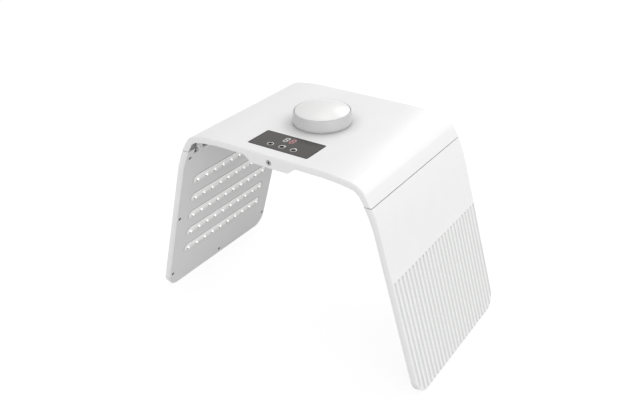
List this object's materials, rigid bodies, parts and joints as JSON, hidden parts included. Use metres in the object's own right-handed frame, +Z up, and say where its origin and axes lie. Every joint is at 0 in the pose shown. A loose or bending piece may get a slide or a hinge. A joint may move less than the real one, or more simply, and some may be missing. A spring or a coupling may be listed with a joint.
{
  "type": "led light therapy device",
  "caption": "Free-standing light therapy arch: a head with touch panel and capped water tank, and folding wings lined with lamps.",
  "frame": {"origin": "on the surface the arch stands on, under the middle of its width and depth", "axes": "+Z up, +Y from the front with the power inlet to the back, +X to the right seen from the front"},
  "size_m": [0.4972, 0.26, 0.3449],
  "materials": {
    "white_gloss": "smooth satin white",
    "white_satin": "fine satin white",
    "dark_glass": "smoked glass",
    "display_black": "tinted window",
    "board_white": "white solder resist",
    "board_green": "green solder resist",
    "black_plastic": "moulded",
    "lamp_lens": "clear dome over a pale base",
    "steel": "plain",
    "dark_screw": "blackened",
    "clear_tank": "milky",
    "soft_seal": "silicone",
    "piezo": "plain"
  },
  "bodies": {
    "head": {"board_parts": "black_plastic", "dc_jack": "black_plastic", "disc_gasket": "soft_seal", "display_module": "display_black", "head_lower_cover": "white_satin", "head_screws": "dark_screw", "head_top_cover": "white_gloss", "jack_pin": "steel", "left_head_board": "board_white", "left_head_lamps": "lamp_lens", "left_hinge_brackets": "white_satin", "left_hinge_pins": "steel", "left_hinge_washers": "steel", "main_board": "board_green", "mist_disc": "piezo", "mist_nozzle": "white_satin", "right_head_board": "board_white", "right_head_lamps": "lamp_lens", "right_hinge_brackets": "white_satin", "right_hinge_pins": "steel", "right_hinge_washers": "steel", "tank_seal": "soft_seal", "touch_board": "board_green", "touch_glass": "dark_glass", "water_tank": "clear_tank"},
    "left_wing": {"left_hinge_leaves": "steel", "left_wing_board": "board_white", "left_wing_lamps": "lamp_lens", "left_wing_panel": "white_satin", "left_wing_screws": "dark_screw", "left_wing_shell": "white_gloss"},
    "right_wing": {"right_hinge_leaves": "steel", "right_wing_board": "board_white", "right_wing_lamps": "lamp_lens", "right_wing_panel": "white_satin", "right_wing_screws": "dark_screw", "right_wing_shell": "white_gloss"},
    "tank_cap": {"cap_dome": "white_gloss", "cap_seal": "soft_seal", "cap_wall": "white_satin"}
  },
  "joints": [
    {"name": "left_wing_fold", "type": "hinge", "parent": "head", "child": "left_wing", "pos_m": [-0.14951, 0, 0.2799], "axis": [0, -1, 0], "range_deg": [0, 107]},
    {"name": "right_wing_fold", "type": "hinge", "parent": "head", "child": "right_wing", "pos_m": [0.14951, 0, 0.2699], "axis": [0, 1, 0], "range_deg": [0, 105]},
    {"name": "cap_lift", "type": "slide", "parent": "head", "child": "tank_cap", "axis": [0, 0, 1], "range_m": [0, 0.06]}
  ]
}
